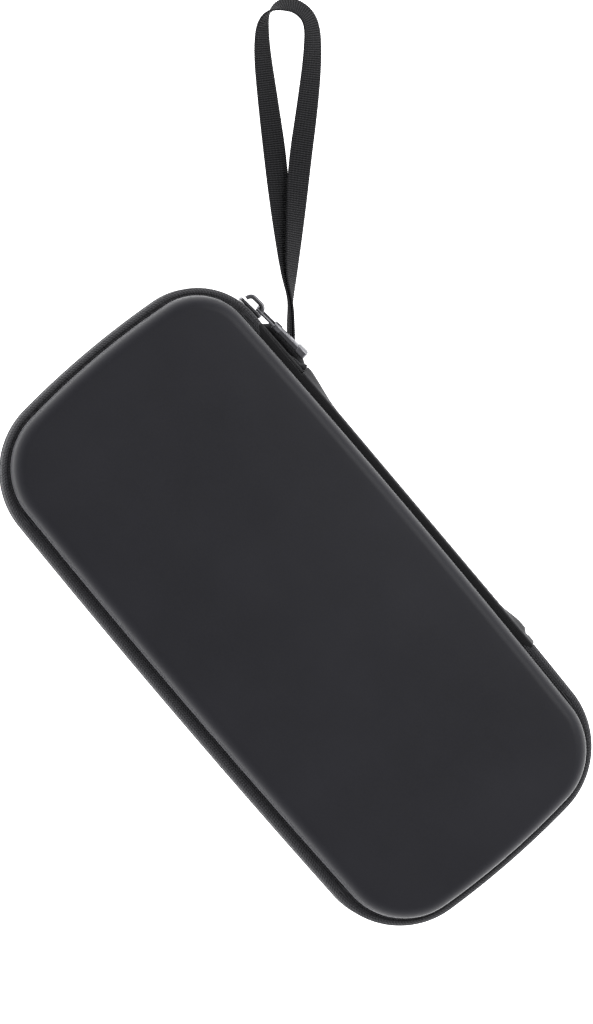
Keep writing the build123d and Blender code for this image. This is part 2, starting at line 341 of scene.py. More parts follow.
def noise(tree, scale, detail, roughness=0.5):
    """Noise in the piece's own space."""
    n = tree.nodes.new("ShaderNodeTexNoise")
    put(tree, n.inputs["Vector"], tree.nodes.new("ShaderNodeTexCoord").outputs["Object"])
    constants(n, Scale=scale, Detail=detail, Roughness=roughness)
    return n.outputs["Fac"]


def grey(level, blue=FAINT_BLUE):
    """A colour of equal red and green."""
    return (level, level, level * blue, 1.0)


def ramp(tree, source, dark, light, low=0.3, high=0.7, blue=FAINT_BLUE):
    """Greys from dark at low to light at high; most noise lies between the defaults."""
    r = tree.nodes.new("ShaderNodeValToRGB")
    ends = r.color_ramp.elements
    ends[0].position, ends[0].color = low, grey(dark, blue)
    ends[1].position, ends[1].color = high, grey(light, blue)
    put(tree, r.inputs["Fac"], source)
    return r.outputs["Color"]


def bump(tree, bsdf, height, strength, distance):
    """Relief finer than the mesh."""
    b = tree.nodes.new("ShaderNodeBump")
    constants(b, Strength=strength, Distance=distance)
    put(tree, b.inputs["Height"], height)
    put(tree, bsdf.inputs["Normal"], b.outputs["Normal"])


def strip(tree):
    """Lengths along and across a piece of cloth."""
    uv = tree.nodes.new("ShaderNodeUVMap")
    uv.uv_map = "weave"
    parts = tree.nodes.new("ShaderNodeSeparateXYZ")
    put(tree, parts.inputs[0], uv.outputs["UV"])
    return parts.outputs["X"], parts.outputs["Y"]


def wave(tree, length, pitch):
    """0 to 1 and back once a pitch."""
    s = calc(tree, "SINE", times(tree, length, ROUND / pitch))
    return plus(tree, times(tree, s, 0.5), 0.5)


def cloth(name, dark, light, across, along, sheen=0.3, gloss=0.3, depth=0.00012,
          slant=0.0, zigzag=0.0, fuzzy=2600.0, hairy=0.45, warp=0.6):
    """Woven cloth: rows across the strip and threads along it, with their pitches.

    Slant turns the rows into a twill and zigzag folds it; warp is how much the threads show.
    """
    m, t, bsdf = material(name)
    u, v = strip(t)
    lean = calc(t, "PINGPONG", v, zigzag) if zigzag else v
    rows = wave(t, plus(t, u, times(t, lean, slant)), across)
    rows = plus(t, times(t, rows, ROW_SHARE), 1 - ROW_SHARE)
    threads = plus(t, times(t, wave(t, v, along), warp), 1 - warp)
    fuzz = noise(t, fuzzy, 3.0)
    height = plus(t, times(t, rows, threads), times(t, fuzz, hairy))
    put(t, bsdf.inputs["Base Color"], ramp(t, height, dark, light, low=0.2, high=1.0))
    put(t, bsdf.inputs["Roughness"], ramp(t, fuzz, 0.79, 0.91))
    constants(bsdf, Specular_IOR_Level=gloss, Sheen_Weight=sheen, Sheen_Roughness=0.45)
    bump(t, bsdf, height, 0.7, depth)
    return m


def soft_touch():
    """Matte moulded cover of the two shells: fine leathery grain, faint clouds of wear."""
    m, t, bsdf = material("soft_touch_cover")
    clouds = noise(t, 16.0, 4.0, roughness=0.6)
    grain = noise(t, 1500.0, 3.0)
    tone = plus(t, clouds, times(t, grain, 0.4))
    polish = plus(t, times(t, clouds, 0.5), times(t, grain, 0.5))
    put(t, bsdf.inputs["Base Color"], ramp(t, tone, 0.0138, 0.0195, low=0.45, high=0.95, blue=1.2))
    put(t, bsdf.inputs["Roughness"], ramp(t, polish, 0.38, 0.48))
    constants(bsdf, Specular_IOR_Level=0.27, Sheen_Weight=0.75, Sheen_Roughness=0.22)
    bump(t, bsdf, grain, 0.12, 0.0002)
    return m


def fleece():
    """Short-piled lining inside the shells."""
    m, t, bsdf = material("fleece_lining")
    pile = noise(t, 1300.0, 5.0, roughness=0.7)
    lie = noise(t, 45.0, 3.0)
    tone = plus(t, times(t, pile, 0.6), times(t, lie, 0.4))
    put(t, bsdf.inputs["Base Color"], ramp(t, tone, 0.010, 0.030))
    put(t, bsdf.inputs["Roughness"], ramp(t, pile, 0.85, 1.0))
    constants(bsdf, Specular_IOR_Level=0.15, Sheen_Weight=0.5, Sheen_Roughness=0.6)
    bump(t, bsdf, pile, 0.6, 0.0006)
    return m


def nylon(name, dark, light, rough):
    """Smooth moulded or drawn nylon with faint drawing marks."""
    m, t, bsdf = material(name)
    marks = noise(t, 700.0, 4.0)
    put(t, bsdf.inputs["Base Color"], ramp(t, marks, dark, light))
    put(t, bsdf.inputs["Roughness"], ramp(t, marks, rough, rough + 0.15))
    bump(t, bsdf, marks, 0.1, 0.0001)
    return m


def gunmetal():
    """Black plated metal, painted brighter along its edges as wear and as highlights, and faintly pitted."""
    m, t, bsdf = material("black_plated_metal")
    wear_and_highlight = t.nodes.new("ShaderNodeNewGeometry").outputs["Pointiness"]
    pits = noise(t, 1400.0, 4.0)
    edge = plus(t, wear_and_highlight, times(t, pits, 0.03))
    # Convex edges get a brighter base colour: partly wear, partly painted highlight.
    put(t, bsdf.inputs["Base Color"], ramp(t, edge, 0.014, 0.30, low=0.51, high=0.60))
    put(t, bsdf.inputs["Roughness"], ramp(t, pits, 0.12, 0.22))
    constants(bsdf, Metallic=0.95, Specular_Tint=grey(0.5))
    bump(t, bsdf, pits, 0.06, 0.0001)
    return m


COVER = soft_touch()
LINING = fleece()
TAPE = cloth("zipper_tape_cloth", 0.001, 0.080, 0.0012, 0.0010, sheen=0.05, depth=0.0006,
             slant=0.8, zigzag=0.0016, fuzzy=800.0, hairy=0.7)
# Dark cloth of the joined tape ends; on the seam strips beside the spine it is painted shade.
PATCH_CLOTH_AND_SHADE = cloth("tape_end_cloth_and_shade", 0.004, 0.012, 0.0007, 0.0006, sheen=0.12)
SPINE_CLOTH = cloth("spine_cloth", 0.018, 0.030, 0.00045, 0.00045, sheen=0.25, depth=0.00005)
# On the strap its rows fall in step with the mesh ribs, so the troughs are painted darker and the crests
# lighter: the weave and painted shade.
WEBBING = cloth("ribbed_webbing", 0.0005, 0.040, 0.00090, 0.00140, sheen=0.0, gloss=0.1, depth=0.0004,
                fuzzy=1200.0, hairy=0.3, warp=0.3)
BINDING_CLOTH = cloth("binding_cloth", 0.008, 0.026, 0.00080, 0.00045, sheen=0.3)
ELASTIC = cloth("ribbed_elastic", 0.008, 0.026, 0.00060, 0.00090, sheen=0.25)
NET = nylon("pocket_net", 0.010, 0.024, 0.45)
COIL = nylon("coil_nylon", 0.008, 0.016, 0.28)
THREAD = nylon("sewing_thread", 0.012, 0.030, 0.55)
METAL = gunmetal()


# The two moulded shells

FOOT, BEND = 0.7, 3.0  # radii: a shell's foot outside, and the edge of its floor inside


def cap_rows(edge, rise, count):
    """Rows that close a ring towards its middle, crowned by rise."""
    out = []
    for k in range(1, count):
        s = 1 - k / count
        r = edge * np.array([s, s, 1.0])
        r[:, 2] += rise * (1 - s * s)
        out.append(r)
    return out


def shell(name, body, stands_for, seam, up, depth, wall, edge, crown, inset=0.0, shift=(0.0, 0.0, 0.0)):
    """Outside: round foot, drafted wall, round edge, crowned face. Inside: a lined hollow."""
    turns = even_turns(SHELL, 0, ROUND, SHELL_MESH)[:-1]
    n = len(turns)
    section = [(FOOT * (math.cos(a) - 1), FOOT * math.sin(a)) for a in np.linspace(-QUARTER, 0, 5)]
    section += [(-z * DRAFT, z) for z in np.linspace(0, wall, 4)[1:]]
    start, rise = -wall * DRAFT, depth - crown - wall
    for a in np.linspace(0, math.radians(88 if crown else 90), 15)[1:]:
        section.append((start - edge * (1 - math.cos(a)), wall + rise * math.sin(a)))
    outside = [row(SHELL, turns, out - inset, seam + up * z) + np.array(shift) for out, z in section]
    outside += cap_rows(outside[-1], up * (depth - section[-1][1]), 16)

    deep = depth - WALL
    start = -WALL - (deep - BEND) * DRAFT
    section = [(-WALL, -0.5), (-WALL - 0.1, 0.6), (start, deep - BEND)]
    section += [(start - BEND * (1 - math.cos(a)), deep - BEND * (1 - math.sin(a)))
                for a in np.linspace(0, QUARTER, 7)[1:]]
    inside = [row(SHELL, turns, out, seam + up * z) for out, z in section]
    inside += cap_rows(inside[-1], 0.0, 10)

    outer = close_cap(loft(outside, ring=True), n, seam + up * depth)
    inner = close_cap(loft(inside, ring=True), n, seam + up * deep)
    points, quads, uvs, others = join([outer, inner])
    first = np.arange(n)
    second = len(outer[0]) + first
    rim = np.stack([first, np.roll(first, -1), np.roll(second, -1), second], axis=1)
    quads = np.concatenate([quads, rim])
    uvs = np.concatenate([uvs, np.zeros((n, 4, 2))])
    o = add(name, (points, quads, uvs, others), COVER, LINING)
    counts = len(outer[1]), len(inner[1]), 2 * n, n  # quads outside and inside, rim and outer cap, inner cap
    o.data.polygons.foreach_set("material_index", np.repeat([0, 1, 0, 1], counts).astype(np.int32))
    settle(o, body, "shell_cover", stands_for)


shell("lid_cover", "lid", "lid_shell", UPPER_SEAM, 1, LID_DEPTH,
      wall=3.4, edge=5.6, crown=0.75, inset=LID_INSET, shift=LID_SHIFT)
shell("base_cover", "base", "base_shell", LOWER_SEAM, -1, BASE_DEPTH, wall=14.0, edge=7.0, crown=0.0)


# The zipper band; heights are from the mid-line

SHOULDER_TOP = 6.9
LAND_TOP, LAND_LIP, LAND_UNDER, LAND_BACK = 6.22, 6.32, 5.9, 5.95  # what lies under a shell


def tape_section(low, shoulder, inner_face=()):
    """From the slit over the shoulder to under the shell and back: outline, outwards, height."""
    bend = SHOULDER_TOP - shoulder
    out = [(BAND, -0.95, low), (BAND, -0.35, low - 0.02), (BAND, -0.10, low + 0.10)]
    out += [(BAND, 0.0, z) for z in np.linspace(min(low + 0.3, shoulder), shoulder, 4)[:-1]]
    out += [(BAND, -bend * (1 - math.cos(a)), shoulder + bend * math.sin(a))
            for a in np.linspace(0, QUARTER, 8)]
    out += [(SHELL, 0.55, 6.72), (SHELL, 0.1, LAND_LIP), (SHELL, -0.6, LAND_TOP), (SHELL, -WALL, LAND_TOP)]
    out += [(SHELL, -WALL, LAND_BACK), (SHELL, 0.0, LAND_UNDER), (BAND, -1.7, 5.75), (BAND, -1.1, 5.35)]
    return out + [(BAND, *place) for place in inner_face]


def along_band(section, low, high, up):
    """A section run along the band between two normal angles."""
    turns = even_turns(BAND, low, high, BAND_MESH)
    return tube([row(line, turns, out, MID_LINE + up * z) for line, out, z in section])


def spine_land(up, start, end):
    """The seam strip that is left of a tape along the spine."""
    x = np.linspace(start, end, int((end - start) / LAND_MESH))
    y, edge = SHELL.spine_y(x), LAND_EDGE
    section = [(y - WALL, LAND_TOP), (y - 0.6, LAND_TOP), (y + 0.1, LAND_LIP)]
    section += [(edge - 0.4, 6.62), (edge - 0.08, 6.5), (edge, 6.25), (edge - 0.08, 6.0)]
    section += [(edge - 0.4, LAND_UNDER), (y, LAND_UNDER), (y - WALL, LAND_BACK)]
    return tube([points_at(x, at, MID_LINE + up * z) for at, z in section])


TAPE_START, TAPE_END = SPINE_START - GAP, SPINE_END + GAP  # along X, beside the spine
NEAR_TURN, FAR_TURN = BAND.turn_at_x(TAPE_START), BAND.turn_at_x(TAPE_END) + ROUND
SLIDER_OUT, SLIDER_IN = BAND.turn_at_x(SLIDER_LOW), BAND.turn_at_x(SLIDER_HIGH)
FULL = tape_section(0.6, 5.0, inner_face=((-1.0, 4.0), (-0.95, 2.0)))
NARROW = tape_section(5.25, 5.4)  # above the sewn ends

lower = along_band(FULL, NEAR_TURN, FAR_TURN, -1)
settle(add("lower_band", lower, TAPE), "base", "zipper_tape", "lower_zipper_tape")
# The seam strip is given the dark patch cloth as painted shade in the groove at the shell's foot.
settle(add("lower_band_land", spine_land(-1, TAPE_START, TAPE_END), PATCH_CLOTH_AND_SHADE), "base", "zipper_tape")
upper = [along_band(FULL, SLIDER_OUT, FAR_TURN, 1), along_band(NARROW, SLIDER_IN, SLIDER_OUT, 1)]
settle(add("upper_band", join(upper), TAPE), "lid", "zipper_tape", "upper_zipper_tape")
# The seam strip is given the dark patch cloth as painted shade in the groove at the shell's foot.
settle(add("upper_band_land", spine_land(1, SLIDER_HIGH, TAPE_END), PATCH_CLOTH_AND_SHADE), "lid", "zipper_tape")

COIL_PITCH, COIL_WIRE = 1.3, 0.30
COIL_IN, COIL_HEIGHT = 1.8, 1.62  # its middle, from the band's outline and from the mid-line
COIL_WIDE, COIL_HIGH = 0.48, 0.70  # half-sizes of the spiral
COIL_STEPS, COIL_SIDES = 12, 5


def coil(low, high, up):
    """A nylon spiral on the inside of a tape."""
    turns = even_turns(BAND, low, high, COIL_PITCH / COIL_STEPS)
    a = ROUND * lengths(BAND.points(turns)) / COIL_PITCH
    c, s = np.cos(a)[:, None], np.sin(a)[:, None]
    n, z = points_at(np.cos(turns), np.sin(turns), 0.0), np.array(UP)
    line = row(BAND, turns, -COIL_IN, MID_LINE + up * COIL_HEIGHT)
    line = line + n * (COIL_WIDE * c) + z * (COIL_HIGH * s)
    out = n * c + z * s
    side = np.cross(tangents(line), out)
    return tube([line + (out * math.cos(b) + side * math.sin(b)) * COIL_WIRE for b in around(COIL_SIDES)])


settle(add("lower_coil", coil(NEAR_TURN, FAR_TURN, -1), COIL), "base", "zipper_coil", "lower_zipper_coil")
settle(add("upper_coil", coil(SLIDER_OUT, FAR_TURN, 1), COIL), "lid", "zipper_coil", "upper_zipper_coil")

# Inwards, and height from the seam
BINDING_SECTION = (
    (0.02, -1.5), (0.15, -1.74), (0.5, -1.78), (0.73, -1.5), (0.8, -0.6), (0.82, 0.5),
    (0.8, 1.6), (0.73, 2.5), (0.5, 2.76), (0.15, 2.72), (0.02, 2.4), (0.02, 0.4),
)
BINDING_SEWN = 1.2  # height of its stitches


def binding(name, seam, up, body, stands_for):
    """The sewn tape over an inner seam, with its thread."""
    turns = even_turns(SHELL, 0, ROUND, SHELL_MESH)[:-1]
    rows = [row(SHELL, turns, -BINDING_INSET - inwards, seam + up * z) for inwards, z in BINDING_SECTION]
    cover = loft(rows, ring=True, wrap=True)
    settle(add(name, cover, BINDING_CLOTH), body, "binding", stands_for)
    turns = even_turns(SHELL, 0, ROUND, STITCH_PITCH)[:-1]
    at = row(SHELL, turns, -BINDING_INSET - BINDING, seam + up * BINDING_SEWN)
    along = points_at(-np.sin(turns), np.cos(turns), 0.0)
    inwards = points_at(-np.cos(turns), -np.sin(turns), 0.0)
    settle(add(name + "_thread", stitches(at, along, inwards), THREAD), body, "binding")


binding("lower_binding", LOWER_SEAM, -1, "base", "lower_rim_binding")
binding("upper_binding", UPPER_SEAM, 1, "lid", "upper_rim_binding")


# The spine and the sewn zipper end beside the slider

SPINE_LOW, SPINE_HIGH = LOWER_SEAM + 1.0, UPPER_SEAM - 1.0  # middles of its round edges
SPINE_PAD = 50.0  # X where the swelling near its far end starts, with a finer mesh


def spine_swell(x):
    """How far the strip's cloth stands out: a soft start, and a pad, a notch and a tab near its far end."""
    start = 2.6 * (1 - smooth(-71.5, -48.0, x))
    pad = hump(x, 1.7, (SPINE_PAD, 62.0), (63.6, 67.2))
    tab = 0.8 * smooth(65.6, 67.8, x) * (1 - 0.3 * smooth(70.5, 71.0, x))
    return 0.65 + start + pad + tab


def spine():
    """The padded strip, a closed section run along X, and its two rows of stitches."""
    low, high = SPINE_LOW, SPINE_HIGH
    x = np.concatenate([np.linspace(SPINE_START, SPINE_PAD, 80)[:-1], np.linspace(SPINE_PAD, SPINE_END, 60)])
    swell = spine_swell(x)
    thinner = 0.35 * (1 - smooth(0, 0.8, x - SPINE_START)) + 0.35 * (1 - smooth(0, 0.8, SPINE_END - x))
    r = SPINE_THICK / 2 * (1 - thinner)
    rows = []
    for z in np.linspace(low, high, 15):
        hill = hump(z, 1.0, (low - 0.6, low + 3.4), (high - 3.4, high + 0.6))
        rows.append(points_at(x, SPINE_Y + r + swell * hill, z))
    half = np.linspace(0, math.pi, 8)[1:-1]
    rows += [points_at(x, SPINE_Y + r * math.cos(a), high + r * math.sin(a)) for a in half]
    rows += [points_at(x, SPINE_Y - r, z) for z in np.linspace(high, low, 5)]
    rows += [points_at(x, SPINE_Y - r * math.cos(a), low - r * math.sin(a)) for a in half]
    settle(add("spine_cloth_strip", tube(rows), SPINE_CLOTH), "spine", "spine_fabric", "spine_strip")
    x = np.arange(SPINE_START + 3, SPINE_END - 8, STITCH_PITCH)
    seams = [points_at(x, SPINE_Y + SPINE_THICK / 2, z) for z in (low + 0.5, high - 0.5)]
    sewn = stitches(np.concatenate(seams), EAST, NORTH, thick=0.4)
    settle(add("spine_thread", sewn, THREAD), "spine", "spine_fabric")


# The joined tape ends, outwards from the band and height from the mid-line: the patch up to its bend and
# behind it, the cap of doubled cloth, and the soft fold below the pull, where the ends are turned under
PATCH_FRONT = ((-0.95, -0.6), (-0.1, -0.6), (0.0, -0.3), (0.0, 1.5), (0.0, 3.0), (0.0, 4.3))
PATCH_BEND = 1.4
PATCH_BACK = ((-1.35, 5.2), (-1.0, 4.6), (-0.97, 2.0))
CAP = ((0.03, -4.4), (0.5, -4.35), (0.95, -4.0), (1.1, -3.4), (1.14, -0.6),
       (1.1, 2.2), (0.95, 2.85), (0.5, 3.15), (0.03, 3.2))
FOLD = ((0.02, -6.4), (1.5, -6.8), (3.2, -6.7), (4.5, -6.0), (4.9, -5.1),
        (4.1, -4.3), (2.2, -3.7), (0.02, -3.4))
CAP_START, FOLD_START = TAPE_START - 9.0, -94.8
SEWN_RISE = 5.0  # both reach their full height over this length


def cap_lift(x):
    """Thin at its start, thicker where it meets the spine's padding."""
    lift = 0.2 + 0.8 * smooth(CAP_START, CAP_START + SEWN_RISE, x)
    lift *= 1 - 0.25 * smooth(TAPE_START - 0.4, TAPE_START, x)
    return lift * (1 + 1.5 * smooth(TAPE_START - 3.0, TAPE_START - 0.8, x))


def fold_lift(x):
    """Highest in its middle."""
    fall = 1 - 0.4 * smooth(TAPE_START - 5.0, TAPE_START, x)
    return 0.1 + 0.9 * smooth(FOLD_START, FOLD_START + SEWN_RISE, x) * fall


def raised(section, start, step, lift):
    """Cloth that stands out from the band between a place along X and the spine."""
    turns = even_turns(BAND, NEAR_TURN, BAND.turn_at_x(start), step)
    height = lift(BAND.points(turns)[:, 0])
    return tube([row(BAND, turns, out * height, MID_LINE + z) for out, z in section])


def tape_end():
    """The two tape ends sewn together between slider and spine, and the cap and fold on them."""
    top = PATCH_FRONT[-1][1]
    bend = [(-PATCH_BEND * (1 - math.cos(a)), top + PATCH_BEND * math.sin(a))
            for a in np.linspace(0.25, QUARTER, 6)]
    section = [(BAND, out, z) for out, z in (*PATCH_FRONT, *bend, *PATCH_BACK)]
    patch = along_band(section, NEAR_TURN, SLIDER_IN, 1)
    settle(add("tape_end_patch", patch, PATCH_CLOTH_AND_SHADE), "base", "zipper_tape", "zipper_end_patch")
    forms = [raised(CAP, CAP_START, CAP_MESH, cap_lift), raised(FOLD, FOLD_START, FOLD_MESH, fold_lift)]
    settle(add("spine_end_cap", join(forms), SPINE_CLOTH), "base", "spine_fabric", "spine_end_tab")


spine()
tape_end()


# Slider and pull: beveled metal

def beveled(points, faces, width):
    """A form from a flat-faced solid whose edges are rounded."""
    bm = bmesh.new()
    made = [bm.verts.new(p) for p in points]
    for f in faces:
        bm.faces.new([made[k] for k in f])
    bmesh.ops.recalc_face_normals(bm, faces=bm.faces)
    bmesh.ops.bevel(bm, geom=bm.edges[:], offset=width, segments=3, profile=0.5, affect="EDGES",
                    clamp_overlap=True)
    bm.verts.index_update()
    out = np.array([v.co for v in bm.verts])
    others = [tuple(v.index for v in f.verts) for f in bm.faces]
    bm.free()
    return out, np.zeros((0, 4), int), np.zeros((0, 4, 2)), others


def prism(outline, low, high, width):
    """An outline in X and Z between two Y values, with rounded edges."""
    n = len(outline)
    points = [(x, low, z) for x, z in outline] + [(x, high, z) for x, z in outline]
    faces = [tuple(range(n)), tuple(range(2 * n - 1, n - 1, -1))]
    faces += [(k, (k + 1) % n, n + (k + 1) % n, n + k) for k in range(n)]
    return beveled(points, faces, width)


def brick(x0, x1, y0, y1, z0, z1, width):
    """A box with rounded edges."""
    return prism([(x0, z0), (x1, z0), (x1, z1), (x0, z1)], y0, y1, width)


def round_corners(points, radius, count=5):
    """An outline with its corners rounded."""
    out = []
    for k, p in enumerate(points):
        p = np.array(p)
        a, b = np.array(points[k - 1]) - p, np.array(points[(k + 1) % len(points)]) - p
        a, b = a / np.linalg.norm(a), b / np.linalg.norm(b)
        half = math.acos(np.clip(a @ b, -1, 1)) / 2
        reach = radius / math.tan(half)
        for t in np.linspace(0, 1, count):
            q = (1 - t) ** 2 * (p + a * reach) + 2 * t * (1 - t) * p + t * t * (p + b * reach)
            out.append(tuple(q))
    return out


def bar(line, wide, section):
    """A bar along a line of points, with one fixed sideways direction."""
    line = np.array(line)
    wide = np.tile(wide, (len(line), 1))
    n = np.cross(tangents(line), wide)
    return tube([line + wide * w + n * d for w, d in section])


def placed(form, matrix):
    """The form moved by a matrix."""
    return (np.array([matrix @ Vector(p) for p in form[0]]), *form[1:])


def arc(cx, cy, r, a, b):
    """Points on a circle in X and Y between two angles in degrees."""
    angles = np.linspace(math.radians(a), math.radians(b), 9)
    return [(cx + r * math.cos(t), cy + r * math.sin(t), 0.0) for t in angles]


# In the slider's own place X runs along the zipper, Y outwards and Z up; the pull swings about its own Z.
CORNER = Vector((-99.399, 32.5228, MID_LINE))  # the middle of the band's corner
SLIDER_PLACE = (Matrix.Translation(CORNER) @ Matrix.Rotation(math.radians(SLIDER_TURN), 4, "Z")
                @ Matrix.Translation((0, BAND_CORNER, 0)))
PULL_PLACE = SLIDER_PLACE @ Matrix.Translation((2.4, 3.05, 0)) @ Matrix.Rotation(math.radians(18), 4, "X")
PLATE = ((-5.5, -3.0), (5.5, -4.0), (5.5, 4.0), (-5.5, 3.0))
OUTER_PLATE, INNER_PLATE = (0.4, 1.6), (-4.9, -3.7)
CROWN_TOP, CROWN_BEND, CROWN_LEG, CROWN_MOUTH = 5.05, 2.4, 4.4, -3.5  # along the middle of its bar
FLANGE_Z, FLANGE_HALF = 3.6, 0.4
PULL_HALF, PULL_WINDOW, PULL_BODY, PULL_END = 2.9, 9.1, 22.4, 26.5
ARM_HALF, PULL_CHAMFER = 0.4, 0.6
RIDGE_START, RIDGE_PITCH, RIDGES = 14.6, 2.2, 3


def slider():
    """Two plates with their post and flanges, and the crown that holds the pull."""
    plate = round_corners(PLATE, 1.5)
    forms = [prism(plate, *OUTER_PLATE, 0.28), prism(plate, *INNER_PLATE, 0.2)]
    forms.append(brick(2.5, 5.5, INNER_PLATE[1], OUTER_PLATE[0], -0.3, 0.3, 0.08))
    for side in (-1, 1):
        z = side * FLANGE_Z
        forms.append(brick(0.0, 4.0, INNER_PLATE[1], -1.8, z - FLANGE_HALF, z + FLANGE_HALF, 0.1))
    r = CROWN_BEND
    path = [(CROWN_LEG, 1.0, 0.0), (CROWN_LEG, 1.8, 0.0)]
    path += arc(CROWN_LEG - r, CROWN_TOP - r, r, 0, 90) + arc(CROWN_MOUTH + r, CROWN_TOP - r, r, 90, 180)
    path.append((CROWN_MOUTH, OUTER_PLATE[1] + 1.1, 0.0))
    forms.append(bar(path, UP, rounded(1.2, 0.92, 0.7, 16)))
    o = add("slider_metal", placed(join(forms), SLIDER_PLACE), METAL)
    settle(o, "slider", "slider_metal", "slider_body")


def pull():
    """A pin and two arms round a window, a ridged body and a thick end."""
    half, window = PULL_HALF, PULL_WINDOW
    pin = [(0, 0, z) for z in np.linspace(-half, half, 5)]
    forms = [bar(pin, EAST, rounded(0.5, 0.5, 0.45, 14))]
    for side in (-1, 1):
        z = side * (half - ARM_HALF)
        forms.append(brick(-0.3, window + 0.8, -0.5, 0.5, z - ARM_HALF, z + ARM_HALF, 0.18))
    forms.append(brick(window - 0.2, window + 3.4, -1.25, 1.25, -half, half, 0.35))
    start, narrow, wide = window + 2.6, half - 0.35, half - 0.1
    body = [(start, -narrow), (PULL_BODY, -wide), (PULL_BODY, wide), (start, narrow)]
    forms.append(prism(round_corners(body, 0.3, 3), -0.95, 0.95, 0.35))
    for k in range(RIDGES):
        x = RIDGE_START + RIDGE_PITCH * k
        forms.append(brick(x, x + 1.0, -1.12, 1.12, -1.9, 1.9, 0.2))
    start, cut = PULL_BODY - 0.7, PULL_CHAMFER
    end = [(start, -half), (PULL_END - cut, -half), (PULL_END, -half + cut)]
    end += [(x, -z) for x, z in reversed(end)]
    forms.append(prism(end, -1.5, 1.5, 0.5))
    o = add("pull_metal", placed(join(forms), PULL_PLACE), METAL)
    settle(o, "pull", "slider_metal", "pull_tab")


slider()
pull()


# The wrist strap

EXIT = Vector((-81.9, 69.2, 0.0))
HEADING = Vector((-0.7613, 0.6484, 0.0))
RIGHT = Vector((0.6484, 0.7613, 0.0))
# Along the heading, across to the right, height, and the webbing's lean from upright in degrees
ROUTE = [
    (-10.0, -0.62, 15.0, 0), (-5.0, -0.62, 15.0, 0), (3.0, -0.32, 11.8, 0), (13.0, 0.20, 7.0, -6),
    (24.0, -0.30, 5.0, -34), (44.0, -2.35, 4.0, -50), (68.0, -4.2, 2.6, -74), (92.0, -7.45, 3.0, -62),
    (114.0, -10.35, 4.2, -48), (126.0, -9.75, 5.0, -30), (130.9, -3.35, 5.2, 30),
    (130.7, 3.65, 5.2, 40), (124.8, 9.85, 5.0, 44), (111.0, 10.25, 3.8, 54),
    (91.0, 8.25, 2.9, 66), (67.0, 4.9, 2.6, 74), (44.0, 3.15, 4.0, 50), (24.0, 1.35, 5.0, 34),
    (13.0, 1.34, 7.0, 6), (3.0, 0.86, 11.8, 0), (-5.0, 0.62, 15.0, 0), (-14.0, 0.62, 15.0, 0),
]
STRAP_HALF, STRAP_THICK, STRAP_SIDES, STRAP_MESH = 5.0, 0.58, 28, 0.22
RIB_PITCH = 0.9
ANCHOR_START, ANCHOR_END, ANCHOR_Z = -18.5, -6.0, 15.0
ANCHOR_HALF, ANCHOR_THICK, ANCHOR_SIDES = 5.5, 0.5, 20
CHEEK, ANCHOR_SEWN = 1.72, 2.2  # the middle of a cheek and its stitches, from the strap's middle


def from_exit(along, right, z):
    """A place by the strap's own directions."""
    return EXIT + HEADING * along + RIGHT * right + Vector((0, 0, z))


def nurbs_line(points):
    """Points read from a NURBS spline with these control points."""
    curve = bpy.data.curves.new("strap_line", "CURVE")
    curve.dimensions = "3D"
    spline = curve.splines.new("NURBS")
    spline.points.add(len(points) - 1)
    for p, at in zip(spline.points, points):
        p.co = (*at, 1.0)
    spline.order_u = 3
    spline.use_endpoint_u = True
    spline.resolution_u = 24
    o = bpy.data.objects.new("strap_line", curve)
    mesh = bpy.data.meshes.new_from_object(o)
    line = np.array([v.co for v in mesh.vertices])
    bpy.data.meshes.remove(mesh)
    bpy.data.objects.remove(o)
    bpy.data.curves.remove(curve)
    return line


def webbing_section(half, thick, count):
    """A flat section with full edges."""
    return [(half * power(math.cos(a), 0.3), thick * power(math.sin(a), 0.5)) for a in around(count)]


def strap():
    """Ribbed webbing that leaves the case on edge, opens into a loop and leans over as it lies."""
    line = nurbs_line([from_exit(a, r, z) for a, r, z, _ in ROUTE])
    lean = nurbs_line([(k, math.radians(place[3]), 0.0) for k, place in enumerate(ROUTE)])[:, 1]
    along = lengths(line)
    even = np.linspace(0, along[-1], int(along[-1] / STRAP_MESH))
    p = np.stack([np.interp(even, along, line[:, k]) for k in range(3)], axis=1)
    lean = np.interp(even, along, lean)[:, None]
    t = tangents(p)
    side = np.cross(t, UP)
    side /= np.linalg.norm(side, axis=1)[:, None]
    wide = np.cross(side, t) * np.cos(lean) + side * np.sin(lean)
    flat = np.cross(t, wide)
    ribs = 0.5 + 0.5 * np.sin(ROUND * even / RIB_PITCH)
    rows = []
    for w, d in webbing_section(STRAP_HALF, STRAP_THICK, STRAP_SIDES):
        edge = 1 - 0.018 * (1 - ribs) * abs(w) / STRAP_HALF
        rows.append(p + wide * (w * edge)[:, None] + flat * (d * (0.7 + 0.3 * ribs))[:, None])
    # The weave's rows follow the same lengths as the ribs, which paints shade into their troughs.
    form = tube(rows, along=np.append(even, even[-1]))
    o = settle(add("wrist_strap_webbing", form, WEBBING), "base", "webbing", "wrist_strap")


